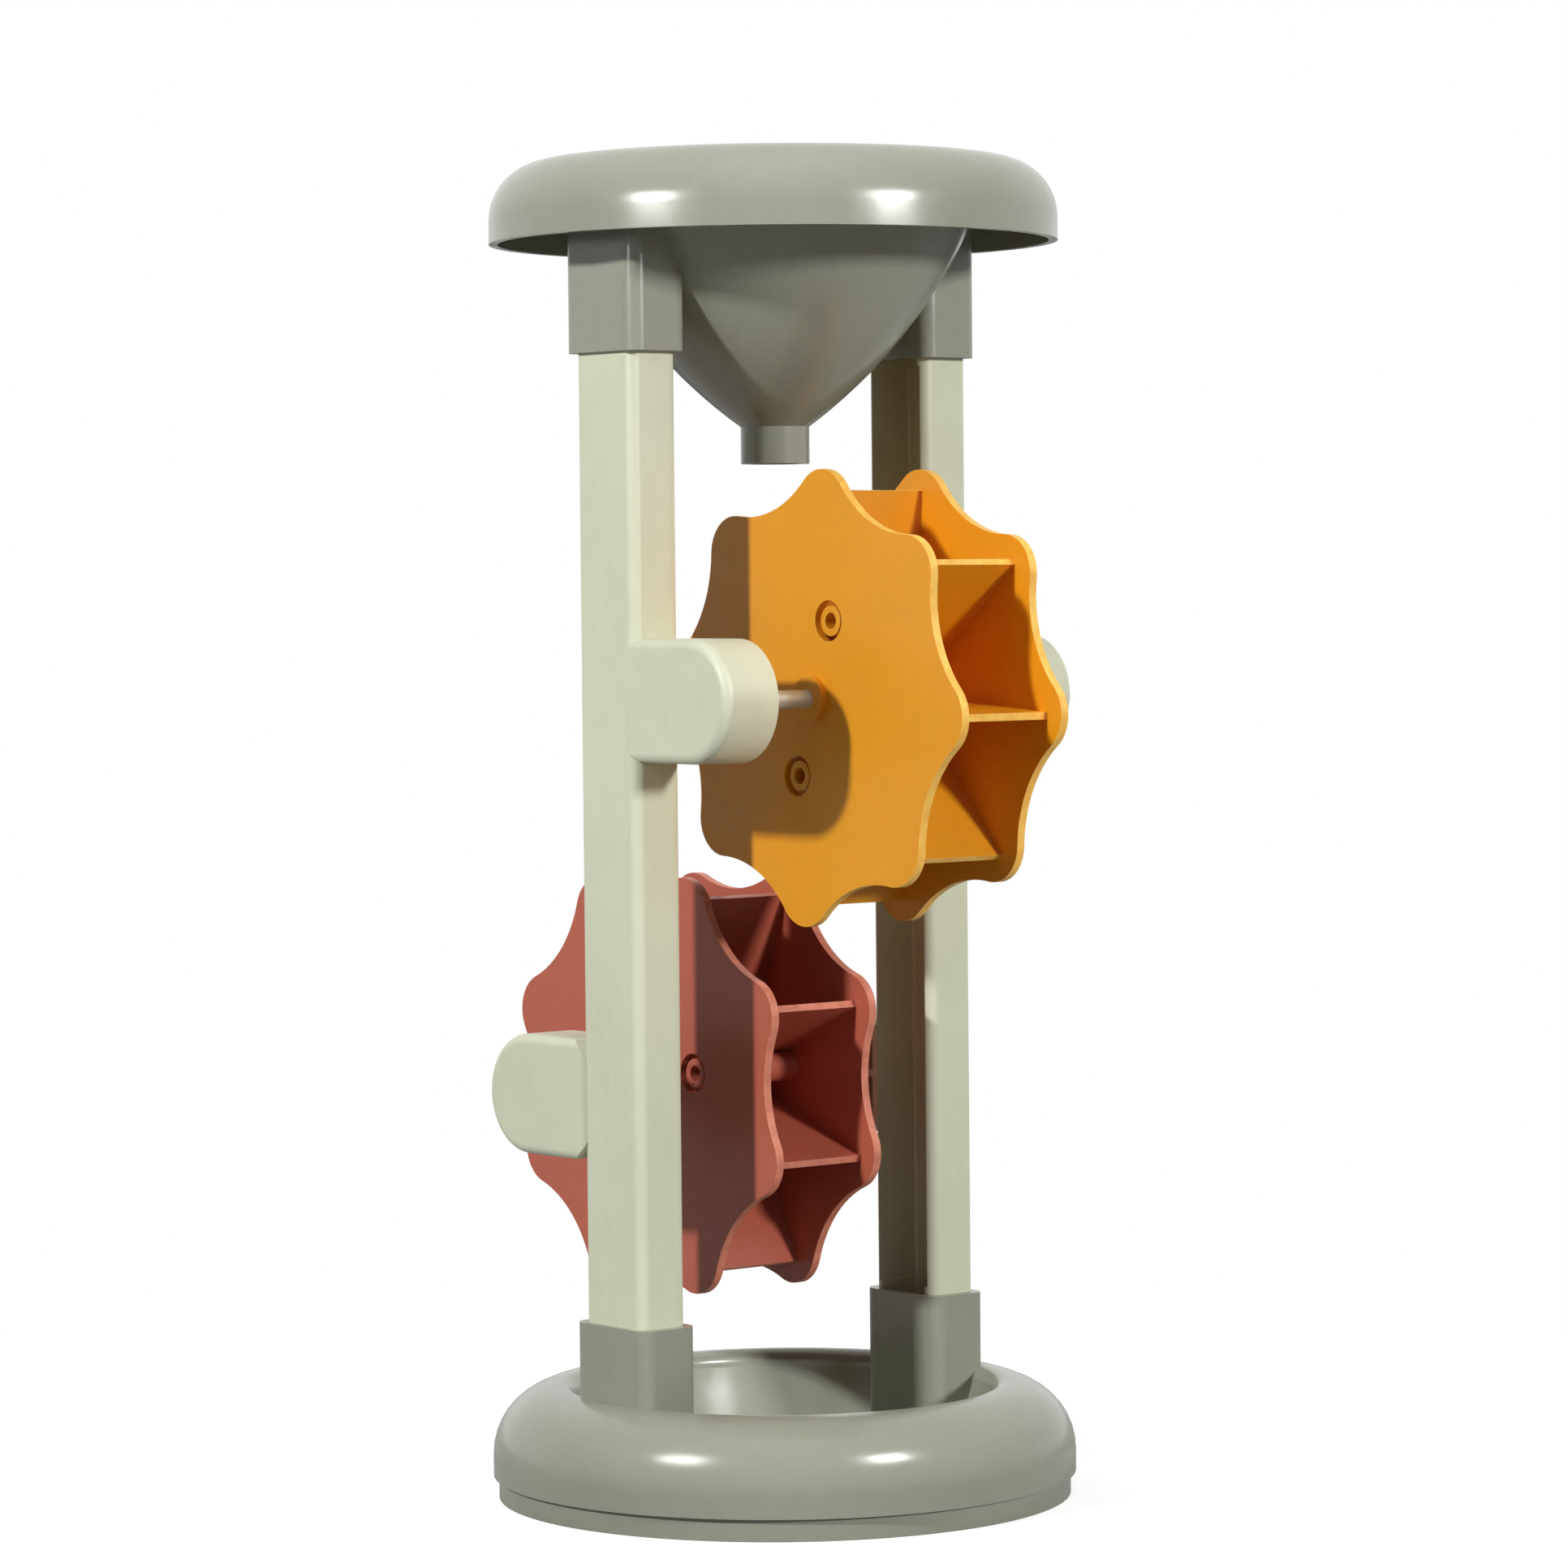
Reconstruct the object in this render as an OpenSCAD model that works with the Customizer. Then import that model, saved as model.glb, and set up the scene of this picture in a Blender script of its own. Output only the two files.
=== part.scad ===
// Sand and water mill: a funnel on two posts, two paddle wheels on steel axles, and a dish base.
// All sizes are in millimetres. X runs along the axles, Z is up, and the origin is on the
// ground under the middle of the base. The upper wheel stands out toward -Y, the lower toward +Y.

/* [Overall] */
// Height from the ground to the top of the funnel
total_h = 298; // [296:1:330]
// Distance of each post's centre from the middle, along X
post_x = 41.6; // [40.5:0.1:43]

/* [Base dish] */
// Outer diameter of the base
base_d = 130.8; // [129:0.2:150]
// Height of the rolled rim
base_h = 25; // [23:0.5:30]
// Radius of the rim's outer curve
base_roll_r = 15.2; // [12:0.2:16]
// Radius of the rim's inner edge
base_edge_r = 3.6; // [2:0.2:5]
// Wall thickness of the base
base_wall = 2; // [1.6:0.1:2.6]
// Radius of the flat floor inside the dish
dish_floor_r = 41; // [36:0.5:42]
// Height of the floor's top above the ground
dish_floor_z = 6.5; // [5.5:0.5:9]
// Height of the foot lip under the rim
lip_h = 5; // [3:0.5:6]
// How far the foot lip stands in from the rim
lip_step = 1.2; // [0.8:0.1:2]

/* [Funnel] */
// Outer diameter of the funnel's rim
funnel_d = 126.8; // [125:0.2:146]
// Radius of the rim's outer curve
funnel_roll_r = 13; // [11:0.2:14]
// Radius of the rim's inner edge
funnel_edge_r = 3; // [2:0.2:4]
// Height of the rim with its skirt
funnel_rim_h = 18.2; // [16:0.2:22]
// Wall thickness of the funnel
funnel_wall = 2; // [1.6:0.1:2.4]
// Outer radius of the bowl under the rim
bowl_r = 48.4; // [46:0.2:50]
// Depth from the rim's top to where the bowl meets the spout
bowl_h = 58; // [57:0.5:60]
// Radius of the bowl's round side inside, seen from the side
bowl_side_r = 111.5; // [100:0.5:140]
// Outer diameter of the spout
spout_d = 15.4; // [13:0.2:18]
// Length of the spout
spout_len = 9.3; // [6:0.1:10]

/* [Posts] */
// Width of a post along Y
post_w = 20.5; // [18:0.5:21.5]
// Thickness of a post along X
post_t = 13; // [12:0.2:13.6]
// Radius of a post's long edges
post_edge_r = 2.6; // [2:0.1:3.5]
// Wall thickness of a post
post_wall = 1.8; // [1.4:0.1:2.2]
// Height of the post's lower shoulder, at the mouth of the base's socket
post_low_z = 41.8; // [39:0.2:43]
// Depth from the funnel's top to the mouth of the funnel's socket
post_top_drop = 43.3; // [38:0.1:44]
// Length of the tongue in each socket
tongue_len = 12.5; // [8:0.5:16]
// How far the tongue stands in from the post's outside
tongue_step = 0.8; // [0.6:0.1:1.2]
// Clearance round a tongue and past its end in the socket
socket_gap = 0.15; // [0.1:0.05:0.25]
// Width of a socket along Y
socket_w = 25.4; // [24:0.2:27]
// Thickness of a socket along X
socket_t = 15.4; // [15:0.1:16]
// Radius of a socket's upright edges
socket_edge_r = 3.4; // [2.5:0.1:4]

/* [Arms] */
// Distance of the upper axle from the middle, toward -Y
upper_reach = 30.8; // [29:0.2:33]
// Distance of the lower axle from the middle, toward +Y
lower_reach = 30.6; // [29:0.2:33]
// Radius of an arm's round end
arm_r = 13.4; // [11:0.2:15]
// How far an arm's outer face stands proud of the post
arm_proud = 1.2; // [0.6:0.1:2]
// Radius of an arm's rounded edges
arm_edge_r = 2.2; // [1:0.1:3]
// How far an arm's pad starts in from the post's edge
arm_inset = 2.2; // [1:0.1:4]
// Radius of the pad's corners at its root
arm_root_r = 6; // [3:0.5:9]
// Thickness of the ribs that carry the boss
rib_t = 1.5; // [1:0.1:2]
// Depth of the ribs' rims behind the open side
rib_drop = 3; // [1:0.5:5]

/* [Axles] */
// Diameter of an axle
axle_d = 4; // [3:0.1:5]
// Radial clearance of an axle in its boss
axle_gap = 0.05; // [0.03:0.01:0.08]
// How deep an axle sits in each boss
axle_grip = 10; // [7:0.5:10.5]
// Free length between an axle's end and the bottom of its bore
axle_end_gap = 0.25; // [0.2:0.05:0.4]
// Bevel on an axle's ends
axle_bevel = 0.4; // [0.2:0.05:0.6]
// Outer radius of a boss
boss_r = 4.6; // [4:0.1:6]

/* [Wheels] */
// Number of paddles and lobes
paddles = 8; // [6:1:8]
// Gap between the spout's end and the upper wheel's tips
spout_gap = 1.8; // [1:0.1:6]
// Gap between the base's rim and the lower wheel's tips
base_gap = 15.8; // [12:0.1:20]
// Gap between the tips of the two wheels
wheels_gap = 7.4; // [4:0.1:12]
// Depth of the valleys between the lobes
lobe_depth = 6.8; // [6:0.1:7.4]
// Radius of a lobe's round tip
lobe_r = 8.4; // [7:0.2:9.4]
// Width of a wheel over both discs
wheel_w = 29.9; // [26:0.1:34]
// Thickness of a disc
disc_t = 2; // [1.6:0.1:2.6]
// How far the paddles' outer edges lie inside the lobes' tips
paddle_inset = 4.6; // [4:0.1:7]
// Thickness of a paddle
paddle_t = 1.6; // [1.2:0.1:2]
// Radius of the hub between the discs
hub_r = 8; // [6.5:0.1:9]
// Radius of the hub's collar through the cover disc
collar_r = 5; // [4:0.1:5.5]
// How far a collar stands out of its disc
collar_proud = 1.6; // [0.8:0.1:3]
// Interference of the pressed joints
press = 0.03; // [0.01:0.01:0.05]
// Number of pegs that reach through the cover
pegs = 2; // [2:1:4]
// Radius of the circle that the pegs stand on, round the axle
peg_circle_r = 17.8; // [15:0.1:20]
// Outer radius of a peg
peg_r = 3.3; // [2.5:0.1:3.4]
// Radius of the hollow in a peg's end
peg_hollow_r = 1.8; // [0.8:0.1:2]
// Depth of the hollow in a peg's end
peg_hollow_h = 8; // [4:0.5:12]
// Radius of the cover's hole round a peg
peg_hole_r = 4.5; // [4.2:0.1:5]
// How far a peg's end lies behind the cover's face
peg_drop = 0.7; // [0.3:0.1:1.5]
// Angle of the first peg past its paddle
peg_angle = 13.5; // [12.5:0.5:24]
// Angle of the upper wheel at rest
upper_angle = 4.7; // [-22:0.1:22]
// Angle of the lower wheel at rest
lower_angle = 65.3; // [43:0.1:88]

/* [Hidden] */
$fn = 96;
// Steps in a quarter of a turned outline's curve
curve_steps = 10;
// Overrun of a cut past the face that it opens
cut = 1;

sage = [0.56, 0.58, 0.50];
cream = [0.80, 0.81, 0.68];
yellow = [0.93, 0.63, 0.10];
brick = [0.66, 0.25, 0.20];
steel = [0.72, 0.72, 0.72];

base_r = base_d / 2;
base_crest_r = base_r - base_roll_r;
base_wall_in_r = base_crest_r - base_edge_r;
floor_under_z = dish_floor_z - base_wall;
funnel_r = funnel_d / 2;
funnel_crest_r = funnel_r - funnel_roll_r;
skirt_z = total_h - funnel_rim_h;
roll_z = total_h - funnel_roll_r;
bowl_low_z = total_h - bowl_h;
bowl_high_z = total_h - funnel_edge_r;
spout_r = spout_d / 2;
spout_z = bowl_low_z - spout_len;
post_top_z = total_h - post_top_drop;
inner_x = post_x - post_t / 2;
outer_x = post_x + post_t / 2;
arm_t = post_t + arm_proud;
arm_root_y = post_w / 2 - arm_inset;
axle_r = axle_d / 2;
axle_len = 2 * (inner_x + axle_grip);
wheel_half = wheel_w / 2;
cover_in_x = -wheel_half + disc_t;

// The wheels fill the height between the base and the spout. Their axles stand axles_dy apart along
// Y, so wheel_r is where the slanting distance of the axles is two wheel radii and the gap.
axles_dy = upper_reach + lower_reach;
wheels_h = spout_z - spout_gap - base_h - base_gap;
wheel_r = (wheels_h * wheels_h + axles_dy * axles_dy - wheels_gap * wheels_gap)
    / (4 * (wheels_h + wheels_gap));
upper_z = spout_z - spout_gap - wheel_r;
lower_z = base_h + base_gap + wheel_r;
valley_r = wheel_r - lobe_depth;
paddle_r = wheel_r - paddle_inset;
lobe_c = wheel_r - lobe_r;
lobe_step = 360 / paddles;

// The valley arc touches both lobes beside it, which fixes its radius.
valley_fall = lobe_c * cos(lobe_step / 2);
valley_arc_r = (lobe_r * lobe_r - lobe_c * lobe_c - valley_r * valley_r + 2 * valley_r * valley_fall)
    / (2 * (valley_r - valley_fall - lobe_r));
valley_c = valley_r + valley_arc_r;

// The bowl's inside is an arc from the spout's bore to the rim's inner edge, and its centre lies
// on the middle line of those two ends. The outside has the same centre, a wall further out.
bowl_in_r = bowl_r - funnel_wall;
bore_r = spout_r - funnel_wall;
bowl_dx = bowl_in_r - bore_r;
bowl_dz = bowl_high_z - bowl_low_z;
bowl_chord = norm([bowl_dx, bowl_dz]);
bowl_back = sqrt(bowl_side_r * bowl_side_r - bowl_chord * bowl_chord / 4);
bowl_cx = bore_r + bowl_dx / 2 - bowl_back * bowl_dz / bowl_chord;
bowl_cz = bowl_low_z + bowl_dz / 2 + bowl_back * bowl_dx / bowl_chord;
bowl_low_a = atan2(bowl_low_z - bowl_cz, bore_r - bowl_cx);
bowl_high_a = atan2(bowl_high_z - bowl_cz, bowl_in_r - bowl_cx);
bowl_out_r = bowl_side_r + funnel_wall;
bowl_out_low_a = -acos((spout_r - bowl_cx) / bowl_out_r);

// The upper tongues end below the place where the bowl's outside comes to their inner face.
tongue_in_x = inner_x + tongue_step;
bowl_meets_z = bowl_cz - bowl_out_r * sin(acos((tongue_in_x - socket_gap - bowl_cx) / bowl_out_r));
tongue_low_z = post_low_z - tongue_len;
tongue_top_z = min(post_top_z + tongue_len, bowl_meets_z - socket_gap);

// Points along an arc, from angle a0 to angle a1
function arc(cx, cy, r, a0, a1, n = curve_steps) =
    [for (i = [0 : n]) let (a = a0 + (a1 - a0) * i / n) [cx + r * cos(a), cy + r * sin(a)]];

// Rectangle with round corners, centred
module round_rect(x, y, r) {
    square([x - 2 * r, y], center = true);
    square([x, y - 2 * r], center = true);
    for (i = [-1, 1], j = [-1, 1])
        translate([i * (x / 2 - r), j * (y / 2 - r)]) circle(r);
}

// Straight round-cornered bar, upright from z0 to z1 over the point x on the X axis
module bar(x, wx, wy, r, z0, z1) {
    translate([x, 0, z0]) linear_extrude(z1 - z0) round_rect(wx, wy, r);
}

// Whatever is drawn once, on both sides of the middle
module both_sides() {
    children();
    mirror([1, 0, 0]) children();
}

// Wall of the base: foot lip, rolled rim, inner edge and floor
module base_wall_section() {
    lip_r = base_r - lip_step;
    polygon(concat(
        [[lip_r, 0], [lip_r, lip_h], [base_r, lip_h]],
        arc(base_crest_r, base_h - base_roll_r, base_roll_r, 0, 90),
        arc(base_crest_r, base_h - base_edge_r, base_edge_r, 90, 180),
        [[dish_floor_r, dish_floor_z], [0, dish_floor_z], [0, floor_under_z]],
        [[dish_floor_r, floor_under_z]],
        [[base_wall_in_r + base_wall, base_h - base_edge_r]],
        arc(base_crest_r, base_h - base_roll_r, base_roll_r - base_wall, 90, 0),
        [[base_r - base_wall, lip_h + base_wall], [lip_r - base_wall, lip_h], [lip_r - base_wall, 0]]
    ));
}

// Space that a post's tongue stands in
module tongue_space(z0, z1) {
    fit = socket_gap - tongue_step;
    bar(post_x, post_t + 2 * fit, post_w + 2 * fit, post_edge_r + fit, z0, z1);
}

module base_dish() {
    color(sage) difference() {
        union() {
            rotate_extrude() base_wall_section();
            both_sides() bar(post_x, socket_t, socket_w, socket_edge_r, floor_under_z, post_low_z);
        }
        both_sides() tongue_space(tongue_low_z - socket_gap, post_low_z + cut);
        // Hollow under the socket, open to the ground
        both_sides() bar(post_x, socket_t - 2 * base_wall, socket_w - 2 * base_wall,
            socket_edge_r - base_wall, -cut, tongue_low_z - socket_gap - base_wall);
    }
}

// Points down the inside of the bowl, from the rim's inner edge to the spout's bore
function bowl_inside() = arc(bowl_cx, bowl_cz, bowl_side_r, bowl_high_a, bowl_low_a, 2 * curve_steps);

// Wall of the funnel: skirt, rolled rim, round-sided bowl and spout
module funnel_wall_section() {
    polygon(concat(
        [[funnel_r, skirt_z]],
        arc(funnel_crest_r, roll_z, funnel_roll_r, 0, 90),
        arc(bowl_in_r + funnel_edge_r, bowl_high_z, funnel_edge_r, 90, 180),
        bowl_inside(),
        [[bore_r, spout_z], [spout_r, spout_z]],
        arc(bowl_cx, bowl_cz, bowl_out_r, bowl_out_low_a, bowl_high_a, 2 * curve_steps),
        arc(funnel_crest_r, roll_z, funnel_roll_r - funnel_wall, 90, 0),
        [[funnel_r - funnel_wall, skirt_z]]
    ));
}

// Everything inside the rim, the bowl and the spout, which stays clear
module bowl_space_section() {
    polygon(concat(
        [[0, total_h + cut], [bowl_in_r + funnel_edge_r, total_h + cut]],
        arc(bowl_in_r + funnel_edge_r, bowl_high_z, funnel_edge_r, 90, 180),
        bowl_inside(),
        [[bore_r, spout_z - cut], [0, spout_z - cut]]
    ));
}

module funnel() {
    socket_top_z = total_h - funnel_wall;
    color(sage) difference() {
        union() {
            rotate_extrude() funnel_wall_section();
            both_sides() difference() {
                bar(post_x, socket_t, socket_w, socket_edge_r, post_top_z, socket_top_z);
                tongue_space(post_top_z - cut, socket_top_z - 2 * funnel_wall);
            }
        }
        rotate_extrude() bowl_space_section();
    }
}

// Outline of an arm seen along X, from its root in the post to its round end, drawn in by inset
module arm_outline(reach, inset) {
    r = arm_r - inset;
    corner = arm_root_r - inset;
    corner_y = arm_root_y + arm_root_r;
    translate([reach, 0]) circle(r);
    translate([corner_y, -r]) square([reach - corner_y, 2 * r]);
    translate([corner_y - corner, -r + corner]) square([reach - corner_y + corner, 2 * (r - corner)]);
    for (j = [-1, 1])
        translate([corner_y, j * (r - corner)]) circle(corner);
}

// Half section of an arm's round end, with the outer edge rounded
module arm_end_section() {
    square([arm_r - arm_edge_r, arm_t]);
    square([arm_r, arm_t - arm_edge_r]);
    translate([arm_r - arm_edge_r, arm_t - arm_edge_r]) circle(arm_edge_r);
}

// Solid arm toward +Y with its axle at y = reach, its inner face at x = 0 and its outer face at arm_t
module arm_solid(reach) {
    length = reach - arm_root_y;
    translate([0, reach, 0]) rotate([90, 0, 90]) rotate_extrude() arm_end_section();
    intersection() {
        // Long edges rounded
        translate([0, arm_root_y, 0]) rotate([-90, 0, 0]) linear_extrude(length) union() {
            translate([0, -arm_r + arm_edge_r]) square([arm_t, 2 * (arm_r - arm_edge_r)]);
            translate([0, -arm_r]) square([arm_t - arm_edge_r, 2 * arm_r]);
            for (j = [-1, 1])
                translate([arm_t - arm_edge_r, j * (arm_r - arm_edge_r)]) circle(arm_edge_r);
        }
        // Edge at the root rounded
        translate([0, arm_root_y, -arm_r]) linear_extrude(2 * arm_r) union() {
            square([arm_t - arm_edge_r, length]);
            translate([0, arm_edge_r]) square([arm_t, length - arm_edge_r]);
            translate([arm_t - arm_edge_r, arm_edge_r]) circle(arm_edge_r);
        }
        // Corners at the root rounded
        rotate([90, 0, 90]) linear_extrude(arm_t) arm_outline(reach, 0);
    }
}

// Hollow of an arm, open at x = 0, beside the post's own side wall
module arm_hollow(reach) {
    translate([-cut, 0, 0]) rotate([90, 0, 90]) linear_extrude(arm_t - post_wall + cut) intersection() {
        arm_outline(reach, post_wall);
        translate([post_w / 2, -arm_r]) square([reach + arm_r, 2 * arm_r]);
    }
}

// Boss for an axle's end with the ribs that carry it
module arm_boss(reach) {
    depth = arm_t - post_wall / 2;
    translate([0, reach, 0]) rotate([0, 90, 0]) cylinder(h = depth, r = boss_r);
    // Upright rib through the boss
    translate([rib_drop, reach - rib_t / 2, -arm_r + post_wall / 2])
        cube([depth - rib_drop, rib_t, 2 * arm_r - post_wall]);
    // Level rib from the post's side wall to the round end
    translate([rib_drop, post_w / 2 - post_wall / 2, -rib_t / 2])
        cube([depth - rib_drop, reach + arm_r - post_w / 2, rib_t]);
}

// Blind bore that an axle's end turns in
module axle_bore(reach) {
    translate([-cut, reach, 0]) rotate([0, 90, 0])
        cylinder(h = axle_grip + axle_end_gap + cut, r = axle_r + axle_gap);
}

// Place a form at both arms of the right-hand post: the upper toward -Y, the lower toward +Y
module at_upper_arm() {
    translate([inner_x, 0, upper_z]) mirror([0, 1, 0]) children();
}

module at_lower_arm() {
    translate([inner_x, 0, lower_z]) children();
}

// Hollow of the post or its tongue, open toward the middle, between z0 and z1
module post_hollow(step, z0, z1) {
    depth = post_t - step - post_wall + cut;
    bar(outer_x - step - post_wall - depth / 2, depth, post_w - 2 * step - 2 * post_wall,
        post_edge_r - post_wall, z0, z1);
}

// The right-hand post; the left-hand one is its mirror image
module post() {
    difference() {
        union() {
            difference() {
                union() {
                    bar(post_x, post_t, post_w, post_edge_r, post_low_z, post_top_z);
                    bar(post_x, post_t - 2 * tongue_step, post_w - 2 * tongue_step,
                        post_edge_r - tongue_step, tongue_low_z, tongue_top_z);
                    at_upper_arm() arm_solid(upper_reach);
                    at_lower_arm() arm_solid(lower_reach);
                }
                post_hollow(0, post_low_z + post_wall, post_top_z - post_wall);
                post_hollow(tongue_step, tongue_low_z + post_wall, tongue_top_z - post_wall);
                at_upper_arm() arm_hollow(upper_reach);
                at_lower_arm() arm_hollow(lower_reach);
            }
            at_upper_arm() arm_boss(upper_reach);
            at_lower_arm() arm_boss(lower_reach);
        }
        at_upper_arm() axle_bore(upper_reach);
        at_lower_arm() axle_bore(lower_reach);
    }
}

module right_post() {
    color(cream) post();
}

module left_post() {
    color(cream) mirror([1, 0, 0]) post();
}

// Steel axle along X with bevelled ends, centred
module axle() {
    color(steel) rotate([0, 90, 0]) rotate_extrude() polygon([
        [0, -axle_len / 2], [axle_r - axle_bevel, -axle_len / 2],
        [axle_r, -axle_len / 2 + axle_bevel], [axle_r, axle_len / 2 - axle_bevel],
        [axle_r - axle_bevel, axle_len / 2], [0, axle_len / 2]
    ]);
}

// Point on the axis of a lobe or a valley
function polar(r, a) = [r * cos(a), r * sin(a)];

// Where lobe i meets the valley on its side s
function lobe_joint(i, s) =
    let (lobe = polar(lobe_c, i * lobe_step), valley = polar(valley_c, (i + s / 2) * lobe_step))
    lobe + (valley - lobe) * lobe_r / (lobe_r + valley_arc_r);

// Outline of a disc: round lobes joined by shallow valleys that touch them
module lobed_outline() {
    difference() {
        polygon([for (i = [0 : paddles - 1]) for (s = [-1, 1]) lobe_joint(i, s)]);
        for (i = [0 : paddles - 1])
            translate(polar(valley_c, (i + 1 / 2) * lobe_step)) circle(valley_arc_r);
    }
    for (i = [0 : paddles - 1])
        translate(polar(lobe_c, i * lobe_step)) circle(lobe_r);
}

// Extrude an outline of the YZ plane along X, from x0 to x1
module along_x(x0, x1) {
    translate([x0, 0, 0]) rotate([90, 0, 90]) linear_extrude(x1 - x0) children();
}

// Outlines at the places of the pegs
module at_pegs() {
    for (i = [0 : pegs - 1])
        translate(polar(peg_circle_r, peg_angle + 90 + lobe_step * round(i * paddles / pegs))) children();
}

// Wheel half with the far disc, the hub, the paddles and the pegs
module wheel_paddles() {
    difference() {
        union() {
            along_x(wheel_half - disc_t, wheel_half) lobed_outline();
            along_x(cover_in_x, wheel_half) circle(hub_r);
            along_x(-wheel_half - collar_proud, wheel_half + collar_proud) circle(collar_r);
            along_x(cover_in_x, wheel_half - disc_t) for (i = [0 : paddles - 1])
                rotate(i * lobe_step) translate([0, -paddle_t / 2]) square([paddle_r, paddle_t]);
            along_x(-wheel_half + peg_drop, wheel_half - disc_t) at_pegs() circle(peg_r);
        }
        along_x(-wheel_half - collar_proud - cut, wheel_half + collar_proud + cut)
            circle(axle_r - press);
        along_x(-wheel_half + peg_drop - cut, -wheel_half + peg_drop + peg_hollow_h)
            at_pegs() circle(peg_hollow_r);
    }
}

// Cover disc pressed over the hub's collar, with holes round the pegs
module wheel_cover() {
    difference() {
        along_x(-wheel_half, cover_in_x) lobed_outline();
        along_x(-wheel_half - cut, cover_in_x + cut) circle(collar_r - press);
        along_x(-wheel_half - cut, cover_in_x + cut) at_pegs() circle(peg_hole_r);
    }
}

// Place a form on the upper or the lower axle
module at_upper_axle(turn = 0) {
    translate([0, -upper_reach, upper_z]) rotate([turn, 0, 0]) children();
}

module at_lower_axle(turn = 0) {
    translate([0, lower_reach, lower_z]) rotate([turn, 0, 0]) children();
}

module upper_axle() {
    at_upper_axle() axle();
}

module lower_axle() {
    at_lower_axle() axle();
}

module upper_wheel_paddles() {
    color(yellow) at_upper_axle(upper_angle) wheel_paddles();
}

module upper_wheel_cover() {
    color(yellow) at_upper_axle(upper_angle) wheel_cover();
}

module lower_wheel_paddles() {
    color(brick) at_lower_axle(lower_angle) wheel_paddles();
}

module lower_wheel_cover() {
    color(brick) at_lower_axle(lower_angle) wheel_cover();
}

base_dish();
funnel();
left_post();
right_post();
upper_axle();
lower_axle();
upper_wheel_paddles();
upper_wheel_cover();
lower_wheel_paddles();
lower_wheel_cover();
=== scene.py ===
import math

import bmesh
import bpy
from mathutils import Matrix, Vector


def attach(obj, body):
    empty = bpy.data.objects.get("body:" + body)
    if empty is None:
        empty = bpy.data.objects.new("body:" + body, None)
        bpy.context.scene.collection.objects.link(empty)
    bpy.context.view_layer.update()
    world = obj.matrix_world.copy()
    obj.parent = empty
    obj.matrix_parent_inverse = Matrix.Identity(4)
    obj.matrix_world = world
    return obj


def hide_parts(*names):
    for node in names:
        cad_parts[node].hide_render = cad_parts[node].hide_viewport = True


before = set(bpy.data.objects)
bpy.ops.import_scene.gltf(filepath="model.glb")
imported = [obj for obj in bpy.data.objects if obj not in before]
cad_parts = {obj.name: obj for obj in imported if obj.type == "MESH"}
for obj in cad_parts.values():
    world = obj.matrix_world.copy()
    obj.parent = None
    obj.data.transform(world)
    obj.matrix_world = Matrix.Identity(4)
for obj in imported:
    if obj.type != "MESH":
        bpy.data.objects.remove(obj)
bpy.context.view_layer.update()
MM = 0.001

# Radius of the rounded edges on each kind of part
SAGE_EDGE = 0.5 * MM
POST_EDGE = 0.3 * MM
WHEEL_EDGE = 0.25 * MM
AXLE_EDGE = 0.05 * MM
# Faces that meet at more than this angle get a rounded edge between them
SHARP_ANGLE = math.radians(35)
EDGE_SEGMENTS = 3
# Points closer than this are welded
WELD = 0.002 * MM
# Weight of large faces in the normals at their edges, the modifier's highest
NORMAL_WEIGHT = 100
# A face counts as a wheel's rim when it lies beyond this share of the wheel's radius,
RIM_SHARE = 0.6
# when its normal's part along the axle is less than this,
RIM_TILT = 0.5
# and when its normal's part away from the axle is more than this
RIM_OUTWARD = 0.5

# Noise in the plastics: cell size, detail, and the lowest and highest value that count
DRIFT = (38 * MM, 2.0, 0.25, 0.75)
FLOW = (3.2 * MM, 3.0, 0.3, 0.7)
RUB = (2.4 * MM, 4.0, 0.4, 0.6)
SHEEN = (11 * MM, 2.0, 0.2, 0.8)
# Noise in the plastics' bump: cell size and detail
PEEL = (1.1 * MM, 2.0)
FINE = (0.22 * MM, 2.0)
# Length of the noise along X, Y and Z, as a factor
EVEN = (1, 1, 1)
ALONG_POST = (1, 1, 2.5)
# Tones are factors of a plastic's colour, and shares say how much of a tone is mixed in
DRIFT_DARK = 0.955
DRIFT_PALE = 1.03
FLOW_TONE = 1.12
FLOW_SHARE = 0.22
# Share of a wheel's painted highlight colour on its outer edges and rims
EDGE_HIGHLIGHT_SHARE = 0.70
# Rubbed outer edges, lighter: wear, and on the wheels painted highlight in their pale colour
RUB_AND_HIGHLIGHT_TONE = 1.25
RUB_AND_HIGHLIGHT_SHARE = 0.5
# Painted shade in inner corners: tone and share
CORNER_SHADE_TONE = 0.6
CORNER_SHADE_SHARE = 0.35
# Roughness below and above the written one, and what a rubbed edge adds
GLOSS_BELOW = 0.03
GLOSS_ABOVE = 0.05
RUB_ROUGHNESS = 0.12
# Share of the fine grain in the bump, and the bump's strength
FINE_SHARE = 0.35
PLASTIC_BUMP = 0.35
PLASTIC_IOR = 1.5
# Reach of red, green and blue light inside the wheels' plastic, in units of the depth
REACH_RGB = (1.0, 0.5, 0.2)
REACH_DEPTH = 1.5 * MM

# Steel: noise of its turning lines, which run round X, and of its dull spots
LINES = (0.12 * MM, 2.0)
LINES_SPAN = (0.3, 0.7)
ROUND_X = (1, 60, 60)
SPOTS = (3 * MM, 4.0, 0.45, 0.7)
# Its tones, roughness and bump
SPOT_TONE = 0.7
SPOT_SHARE = 0.5
SPOT_ROUGHNESS = 0.15
STEEL_SMOOTH = 0.34
STEEL_ROUGH = 0.48
STEEL_METALLIC = 0.6
STEEL_BUMP = 0.4
LINE_DEPTH = 0.01 * MM

# Strength of the world's light on the object
WORLD_FILL = 0.10
# Half the floor's width
FLOOR_HALF = 3.0
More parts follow.
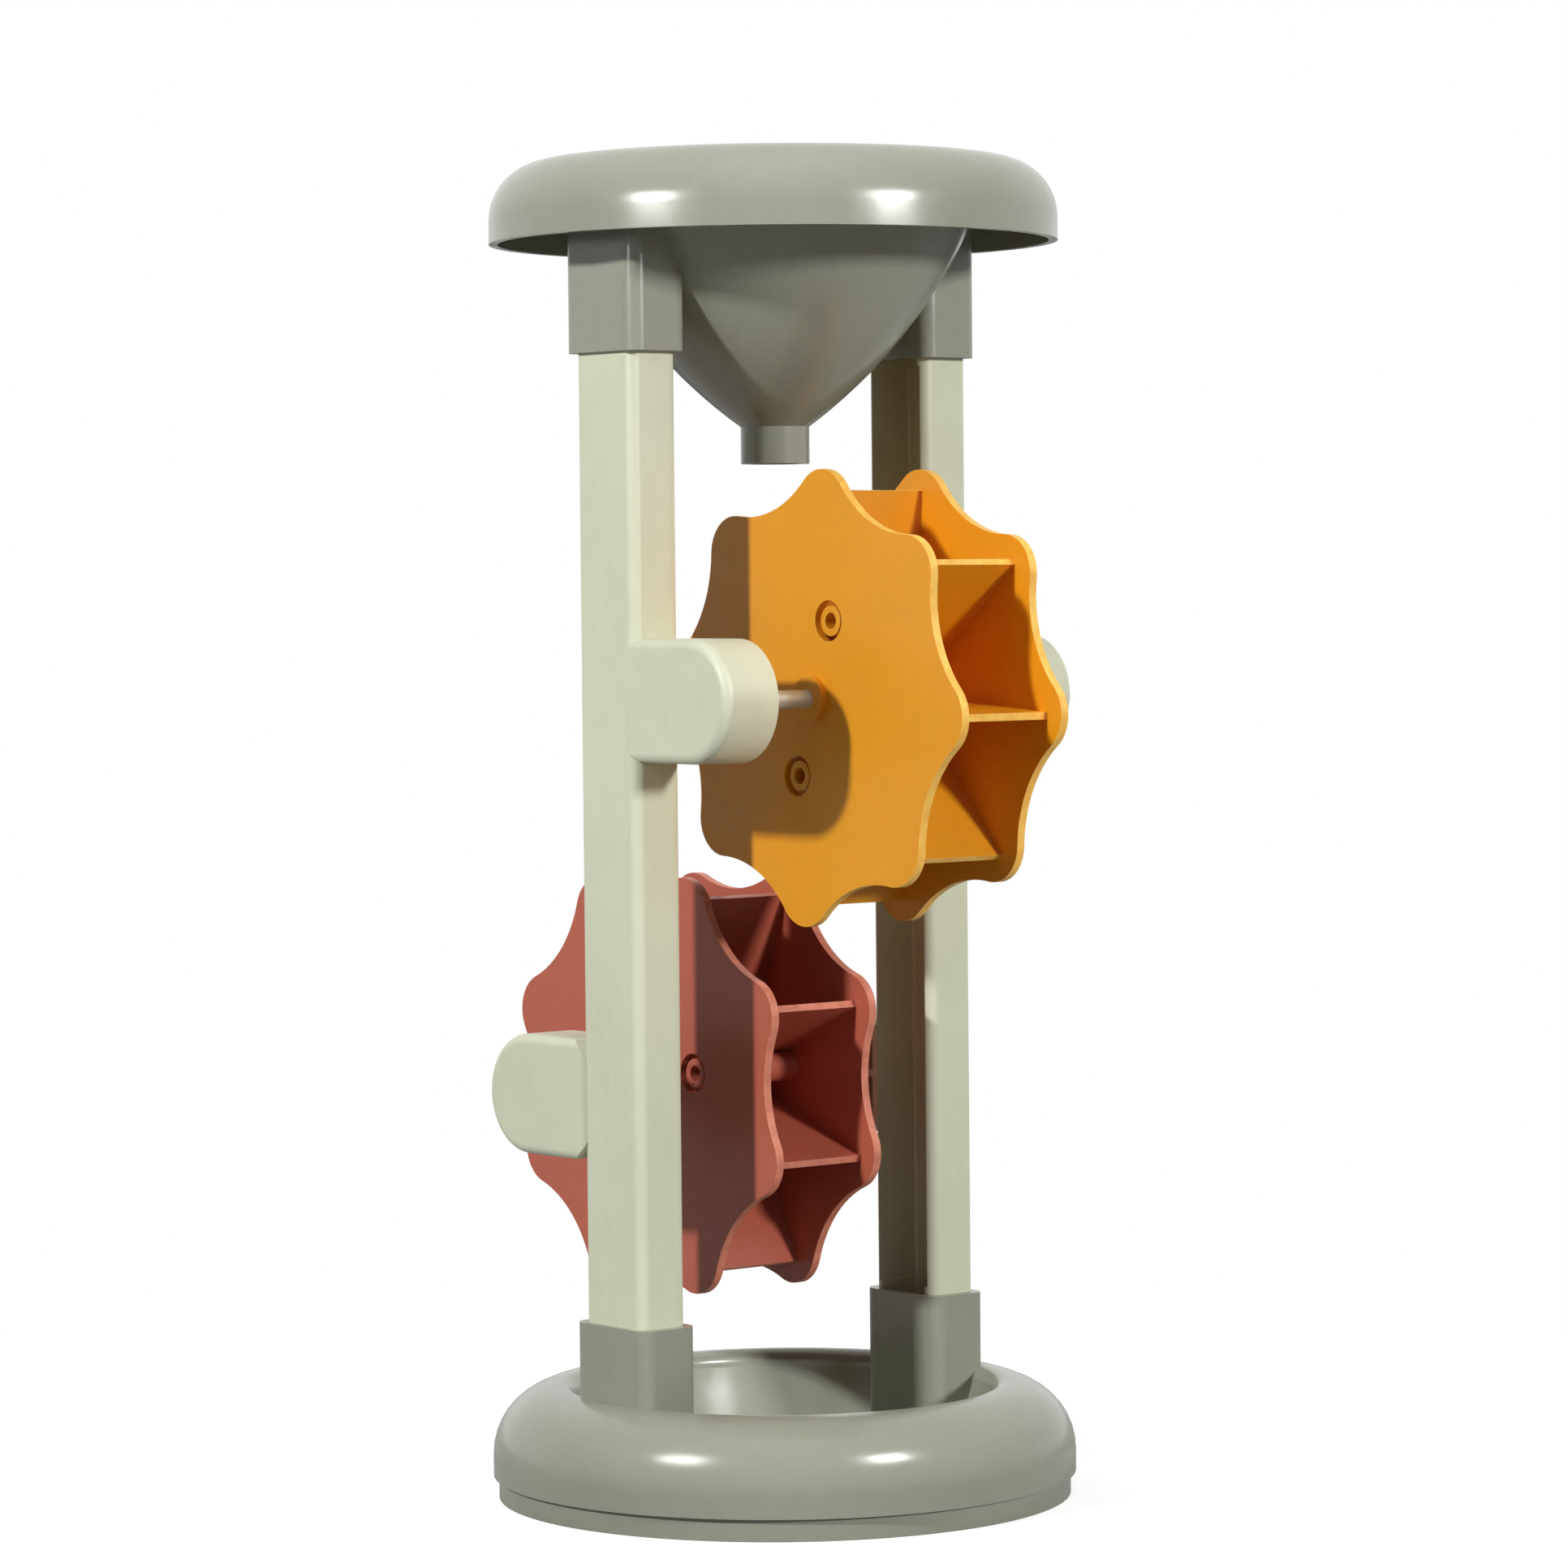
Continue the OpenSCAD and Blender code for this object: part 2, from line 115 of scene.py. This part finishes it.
# The floor's grey for the light that it throws back, and for its own look
FLOOR_BOUNCE = 0.2
FLOOR_TONE = 0.5
# Strength of the white that the camera sees on the floor besides its lit grey
FLOOR_LIFT = 0.68
# The floor turns plain white between these distances from the middle
FLOOR_NEAR = 0.16
FLOOR_FAR = 0.34


# Camera: the photograph's view of the mill
def add_camera():
    image_px = 1932
    focal_px = 6549.6
    sensor = 36.0
    near_clip = 0.05
    distance = 1189 * MM
    height = 204.62 * MM
    azimuth = math.radians(51.29)
    pan = math.radians(-0.06)
    pitch = math.radians(2.19)
    roll = math.radians(-0.55)
    data = bpy.data.cameras.new("view")
    data.sensor_width = sensor
    data.lens = sensor * focal_px / image_px
    data.clip_start = near_clip
    camera = bpy.data.objects.new("view", data)
    bpy.context.scene.collection.objects.link(camera)
    heading = azimuth + pan
    level = math.cos(pitch)
    forward = Vector((math.cos(heading) * level, math.sin(heading) * level, -math.sin(pitch)))
    side = Vector((math.sin(heading), -math.cos(heading), 0))
    up = side.cross(forward)
    right = math.cos(roll) * side + math.sin(roll) * up
    top = -math.sin(roll) * side + math.cos(roll) * up
    turn = Matrix((right, top, -forward)).transposed().to_4x4()
    place = (-math.cos(azimuth) * distance, -math.sin(azimuth) * distance, height)
    camera.matrix_world = Matrix.Translation(place) @ turn
    bpy.context.scene.camera = camera


# Marks each face of a rounded mesh: 1 on an outer edge, -1 in an inner corner, 0 elsewhere.
# Outer edges take lighter rubbed wear and, on the wheels, a painted highlight; inner corners take
# painted shade.
# The rounding gave its own faces the second material.
# With the rim flag set, faces that look outward at a wheel's rim count as outer edges too, for the
# painted highlight.
def mark_edges(mesh, highlit_rims):
    form = bmesh.new()
    form.from_mesh(mesh)
    low = [min(v.co[i] for v in form.verts) for i in range(3)]
    high = [max(v.co[i] for v in form.verts) for i in range(3)]
    middle = Vector([(a + b) / 2 for a, b in zip(low, high)])
    reach = (high[2] - low[2]) / 2
    marks = []
    for face in form.faces:
        center = face.calc_center_median()
        mark = 0.0
        if face.material_index == 1:
            around = [side.link_loop_radial_next.face for side in face.loops]
            ways = [(near.calc_center_median() - center).normalized() for near in around]
            mark = 1.0 if sum(way.dot(face.normal) for way in ways) < 0 else -1.0
        # On the wheels, rim faces that look outward get the outer mark, so they take the painted
        # highlight
        if highlit_rims:
            out = center - middle
            out.x = 0
            at_rim = out.length > RIM_SHARE * reach and abs(face.normal.x) < RIM_TILT
            if at_rim and face.normal.dot(out.normalized()) > RIM_OUTWARD:
                mark = 1.0
        marks.append(mark)
    form.free()
    mesh.attributes.new("edge", "FLOAT", "FACE").data.foreach_set("value", marks)
    mesh.polygons.foreach_set("material_index", [0] * len(marks))


# A copy of a CAD node whose sharp edges are rounded, with its material and its edges marked
def dress(node, look, edge, highlit_rims):
    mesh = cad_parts[node].data.copy()
    piece = bpy.data.objects.new(node + "_shell", mesh)
    bpy.context.scene.collection.objects.link(piece)
    form = bmesh.new()
    form.from_mesh(mesh)
    bmesh.ops.remove_doubles(form, verts=form.verts, dist=WELD)
    form.to_mesh(mesh)
    form.free()
    mesh.materials.clear()
    mesh.materials.append(look)
    mesh.materials.append(look)
    for polygon in mesh.polygons:
        polygon.use_smooth = True
        polygon.material_index = 0
    bevel = piece.modifiers.new("rounded", "BEVEL")
    bevel.width = edge
    bevel.segments = EDGE_SEGMENTS
    bevel.limit_method = "ANGLE"
    bevel.angle_limit = SHARP_ANGLE
    bevel.use_clamp_overlap = True
    bevel.material = 1
    flat = piece.modifiers.new("flat", "WEIGHTED_NORMAL")
    flat.mode = "FACE_AREA"
    flat.weight = NORMAL_WEIGHT
    flat.keep_sharp = False
    graph = bpy.context.evaluated_depsgraph_get()
    done = piece.evaluated_get(graph)
    rounded = bpy.data.meshes.new_from_object(done, preserve_all_data_layers=True, depsgraph=graph)
    piece.modifiers.clear()
    piece.data = rounded
    mark_edges(rounded, highlit_rims)
    rounded.materials.pop(index=1)
    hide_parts(node)
    return piece


# Node builder for a material or the world: makes nodes, sets their inputs and links sockets.
# An input is named by its label with _ for a space, or as i and its number.
class Nodes:
    def __init__(self, owner):
        owner.use_nodes = True
        self.tree = owner.node_tree
        self.shader = self.tree.nodes.get("Principled BSDF")

    def add(self, kind, props=None, **inputs):
        node = self.tree.nodes.new(kind)
        for key, value in (props or {}).items():
            setattr(node, key, value)
        for key, value in inputs.items():
            self.put(node, key, value)
        return node

    def put(self, node, key, value):
        numbered = key[0] == "i" and key[1:].isdigit()
        socket = node.inputs[int(key[1:]) if numbered else key.replace("_", " ")]
        if isinstance(value, bpy.types.NodeSocket):
            self.tree.links.new(value, socket)
        else:
            socket.default_value = value

    def math(self, operation, a, b):
        return self.add("ShaderNodeMath", {"operation": operation}, i0=a, i1=b).outputs[0]

    # Noise in the piece's own coordinates
    def noise(self, cell, detail, stretch=EVEN):
        place = self.add("ShaderNodeTexCoord").outputs["Object"]
        scale = [1 / (cell * s) for s in stretch]
        place = self.add("ShaderNodeMapping", i0=place, i3=scale).outputs[0]
        return self.add("ShaderNodeTexNoise", Vector=place, Scale=1.0, Detail=detail).outputs[0]

    # Smooth step of a value from low to high, mapped from to_low to to_high
    def span(self, value, low, high, to_low=0.0, to_high=1.0):
        node = self.add("ShaderNodeMapRange", {"interpolation_type": "SMOOTHSTEP"}, i0=value)
        for key, number in zip(("i1", "i2", "i3", "i4"), (low, high, to_low, to_high)):
            self.put(node, key, number)
        return node.outputs[0]

    # Noise from 0, at the lowest value that counts, to 1, at the highest
    def cloud(self, kind, stretch=EVEN):
        cell, detail, low, high = kind
        return self.span(self.noise(cell, detail, stretch), low, high)

    def mix(self, share, a, b):
        return self.add("ShaderNodeMix", {"data_type": "RGBA"}, i0=share, i6=a, i7=b).outputs[2]


def grey(level):
    return (level, level, level, 1)


def shade(color, factor):
    return (*[min(1.0, c * factor) for c in color], 1)


# Moulded plastic: soft colour drift, flow marks, lighter rubbed outer edges, painted shade in inner
# corners and a fine grain.
# Rubbed edges are wear, and on the wheels, where they take the pale edge colour, they are painted
# highlight too.
# With a highlight colour given, its outer edges and rims take that colour as a painted highlight.
# Through is the share of light that passes below its surface.
def plastic(name, color, gloss, grain, streak=EVEN, edge_highlight=None, through=0.0):
    material = bpy.data.materials.new(name)
    nodes = Nodes(material)
    drift = nodes.cloud(DRIFT)
    flow = nodes.cloud(FLOW, streak)
    tone = nodes.mix(drift, shade(color, DRIFT_DARK), shade(color, DRIFT_PALE))
    tone = nodes.mix(nodes.math("MULTIPLY", flow, FLOW_SHARE), tone, shade(color, FLOW_TONE))
    edge = nodes.add("ShaderNodeAttribute", {"attribute_name": "edge"}).outputs["Fac"]
    outer = nodes.math("MAXIMUM", edge, 0.0)
    inner = nodes.math("MAXIMUM", nodes.math("MULTIPLY", edge, -1.0), 0.0)
    # Painted highlight: the wheels' outer edges and rims take their pale edge colour
    if edge_highlight:
        tone = nodes.mix(nodes.math("MULTIPLY", outer, EDGE_HIGHLIGHT_SHARE), tone, shade(edge_highlight, 1.0))
    # Rubbed outer edges are lighter and rougher: wear, and on the wheels painted highlight in the
    # pale tone
    worn_and_highlit = nodes.math("MULTIPLY", outer, nodes.cloud(RUB))
    tone = nodes.mix(nodes.math("MULTIPLY", worn_and_highlit, RUB_AND_HIGHLIGHT_SHARE), tone, shade(edge_highlight or color, RUB_AND_HIGHLIGHT_TONE))
    # Painted shade: inner corners darker
    tone = nodes.mix(nodes.math("MULTIPLY", inner, CORNER_SHADE_SHARE), tone, shade(color, CORNER_SHADE_TONE))
    nodes.put(nodes.shader, "Base_Color", tone)
    cell, detail, low, high = SHEEN
    uneven = nodes.noise(cell, detail)
    rough = nodes.span(uneven, low, high, gloss - GLOSS_BELOW, gloss + GLOSS_ABOVE)
    rubbed = nodes.math("MULTIPLY", worn_and_highlit, RUB_ROUGHNESS)
    nodes.put(nodes.shader, "Roughness", nodes.math("ADD", rough, rubbed))
    peel = nodes.noise(*PEEL)
    fine = nodes.noise(*FINE)
    height = nodes.math("ADD", peel, nodes.math("MULTIPLY", fine, FINE_SHARE))
    bump = nodes.add("ShaderNodeBump", Strength=PLASTIC_BUMP, Distance=grain, Height=height)
    nodes.put(nodes.shader, "Normal", bump.outputs[0])
    nodes.put(nodes.shader, "IOR", PLASTIC_IOR)
    nodes.put(nodes.shader, "Subsurface_Weight", through)
    nodes.put(nodes.shader, "Subsurface_Radius", REACH_RGB)
    nodes.put(nodes.shader, "Subsurface_Scale", REACH_DEPTH)
    return material


# Drawn steel rod: fine turning lines round the X axis, with a few dull spots
def rod_steel(name, color):
    material = bpy.data.materials.new(name)
    nodes = Nodes(material)
    lines = nodes.noise(*LINES, ROUND_X)
    spots = nodes.cloud(SPOTS)
    dull = nodes.math("MULTIPLY", spots, SPOT_SHARE)
    nodes.put(nodes.shader, "Base_Color", nodes.mix(dull, shade(color, 1.0), shade(color, SPOT_TONE)))
    nodes.put(nodes.shader, "Metallic", STEEL_METALLIC)
    rough = nodes.span(lines, *LINES_SPAN, STEEL_SMOOTH, STEEL_ROUGH)
    spotted = nodes.math("MULTIPLY", spots, SPOT_ROUGHNESS)
    nodes.put(nodes.shader, "Roughness", nodes.math("ADD", rough, spotted))
    bump = nodes.add("ShaderNodeBump", Strength=STEEL_BUMP, Distance=LINE_DEPTH, Height=lines)
    nodes.put(nodes.shader, "Normal", bump.outputs[0])
    return material


# Colours of the materials, and the painted highlight colours of the wheels' edges and rims
SAGE = (0.28, 0.293, 0.231)
CREAM = (0.62, 0.64, 0.48)
YELLOW = (0.75, 0.305, 0.009)
YELLOW_EDGE_HIGHLIGHT = (1.0, 0.54, 0.11)
BRICK = (0.46, 0.112, 0.066)
BRICK_EDGE_HIGHLIGHT = (0.62, 0.22, 0.14)
STEEL = (0.58, 0.63, 0.60)
# Roughness of the sage, of the cream and of the wheels
SAGE_GLOSS = 0.20
CREAM_GLOSS = 0.42
WHEEL_GLOSS = 0.38
# Depth of the moulded grain on the smooth sage and on the other plastics
FINE_GRAIN = 0.015 * MM
SOFT_GRAIN = 0.03 * MM
# Share of light that passes below the wheels' surface
WHEEL_THROUGH = 0.15

sage = plastic("sage_plastic_look", SAGE, SAGE_GLOSS, FINE_GRAIN)
cream = plastic("cream_plastic_look", CREAM, CREAM_GLOSS, SOFT_GRAIN, ALONG_POST)
# The wheels take a painted highlight colour on their edges and rims
yellow = plastic("yellow_plastic_look", YELLOW, WHEEL_GLOSS, SOFT_GRAIN,
                 edge_highlight=YELLOW_EDGE_HIGHLIGHT, through=WHEEL_THROUGH)
brick = plastic("brick_plastic_look", BRICK, WHEEL_GLOSS, SOFT_GRAIN,
                edge_highlight=BRICK_EDGE_HIGHLIGHT, through=WHEEL_THROUGH)
steel = rod_steel("axle_steel_look", STEEL)

# Each CAD node's material, material slot in the record, edge radius and body
LOOKS = {
    "base_dish": (sage, "sage_plastic", SAGE_EDGE, "frame"),
    "funnel": (sage, "sage_plastic", SAGE_EDGE, "frame"),
    "left_post": (cream, "cream_plastic", POST_EDGE, "frame"),
    "right_post": (cream, "cream_plastic", POST_EDGE, "frame"),
    "upper_axle": (steel, "axle_steel", AXLE_EDGE, "upper_wheel"),
    "lower_axle": (steel, "axle_steel", AXLE_EDGE, "lower_wheel"),
    "upper_wheel_paddles": (yellow, "yellow_plastic", WHEEL_EDGE, "upper_wheel"),
    "upper_wheel_cover": (yellow, "yellow_plastic", WHEEL_EDGE, "upper_wheel"),
    "lower_wheel_paddles": (brick, "brick_plastic", WHEEL_EDGE, "lower_wheel"),
    "lower_wheel_cover": (brick, "brick_plastic", WHEEL_EDGE, "lower_wheel"),
}
# On the wheels the rims are marked too, for the painted highlight
for node, (look, slot, edge, body) in LOOKS.items():
    piece = dress(node, look, edge, highlit_rims="_wheel_" in node)
    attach(piece, body)


# Area lamp at a place, aimed at a target.
# A gloss lamp is seen only in reflections, and the other lamps aren't seen there.
def lamp(name, place, target, size, watts, gloss=False):
    data = bpy.data.lights.new(name, "AREA")
    data.energy = watts
    data.shape = "RECTANGLE"
    data.size, data.size_y = size
    light = bpy.data.objects.new(name, data)
    bpy.context.scene.collection.objects.link(light)
    light.location = place
    aim = Vector(target) - Vector(place)
    light.rotation_euler = aim.to_track_quat("-Z", "Y").to_euler()
    light.visible_camera = False
    light.visible_glossy = gloss
    light.visible_diffuse = not gloss


# What the lamps are aimed at
MIDDLE = (0, -0.02, 0.16)
UNDER_SKY = (0, 0, 0.15)
# Width and height of each kind of lamp
KEY_SIZE = (0.09, 0.09)
SIDE_SIZE = (0.22, 0.22)
BOX_SIZE = (0.12, 0.10)
BACK_SIZE = (0.5, 0.5)
SKY_SIZE = (0.4, 0.4)
# The key and side lamps are far and small and cast the shadows
lamp("key", (-1.350, -0.070, 0.843), MIDDLE, KEY_SIZE, watts=18.2)
lamp("side", (0.410, -1.960, 0.740), MIDDLE, SIDE_SIZE, watts=29.5)
# The two boxes make the bright spots on the rims
lamp("key_box", (-0.430, -0.042, 0.378), MIDDLE, BOX_SIZE, watts=1.5, gloss=True)
lamp("side_box", (0.052, -0.425, 0.368), MIDDLE, BOX_SIZE, watts=1.5, gloss=True)
# The back and sky lamps are large and weak and fill the rest
lamp("back_left", (0.15, 0.80, 0.55), MIDDLE, BACK_SIZE, watts=1.6)
lamp("back_right", (0.80, 0.15, 0.55), MIDDLE, BACK_SIZE, watts=1.6)
lamp("sky", (-0.10, -0.12, 1.05), UNDER_SKY, SKY_SIZE, watts=2.5)


# World: plain soft light on the object, and white where the camera, gloss or glass shows it
def add_world():
    world = bpy.data.worlds.new("room")
    bpy.context.scene.world = world
    nodes = Nodes(world)
    path = nodes.add("ShaderNodeLightPath").outputs
    seen = nodes.math("MAXIMUM", path["Is Camera Ray"], path["Is Glossy Ray"])
    seen = nodes.math("MAXIMUM", seen, path["Is Transmission Ray"])
    back = nodes.tree.nodes["Background"]
    nodes.put(back, "Color", grey(1.0))
    nodes.put(back, "Strength", nodes.span(seen, 0.0, 1.0, WORLD_FILL, 1.0))


# Floor: where the camera sees it, pale with the object's shadow, and plain white away from it.
# Gloss shows its lit grey, and the light that it throws back is weaker.
def add_floor():
    mesh = bpy.data.meshes.new("floor")
    corners = [(-1, -1), (1, -1), (1, 1), (-1, 1)]
    mesh.from_pydata([(x * FLOOR_HALF, y * FLOOR_HALF, 0) for x, y in corners], [], [(0, 1, 2, 3)])
    floor = bpy.data.objects.new("floor", mesh)
    bpy.context.scene.collection.objects.link(floor)
    material = bpy.data.materials.new("floor_white")
    nodes = Nodes(material)
    nodes.put(nodes.shader, "Roughness", 1.0)
    nodes.put(nodes.shader, "Specular_IOR_Level", 0.0)
    path = nodes.add("ShaderNodeLightPath").outputs
    straight = nodes.math("MAXIMUM", path["Is Camera Ray"], path["Is Transmission Ray"])
    shown = nodes.math("MAXIMUM", straight, path["Is Glossy Ray"])
    nodes.put(nodes.shader, "Base_Color", nodes.mix(shown, grey(FLOOR_BOUNCE), grey(FLOOR_TONE)))
    plain = nodes.shader.outputs[0]
    lift = nodes.add("ShaderNodeEmission", Strength=FLOOR_LIFT).outputs[0]
    lit = nodes.add("ShaderNodeAddShader", i0=plain, i1=lift).outputs[0]
    white = nodes.add("ShaderNodeEmission", Strength=1.0).outputs[0]
    place = nodes.add("ShaderNodeNewGeometry").outputs["Position"]
    away = nodes.add("ShaderNodeVectorMath", {"operation": "LENGTH"}, i0=place).outputs["Value"]
    far = nodes.span(away, FLOOR_NEAR, FLOOR_FAR)
    seen = nodes.add("ShaderNodeMixShader", i0=far, i1=lit, i2=white).outputs[0]
    whole = nodes.add("ShaderNodeMixShader", i0=straight, i1=plain, i2=seen).outputs[0]
    nodes.put(nodes.tree.nodes["Material Output"], "Surface", whole)
    mesh.materials.append(material)


add_world()
add_floor()
add_camera()
bpy.context.scene.view_settings.view_transform = "Standard"
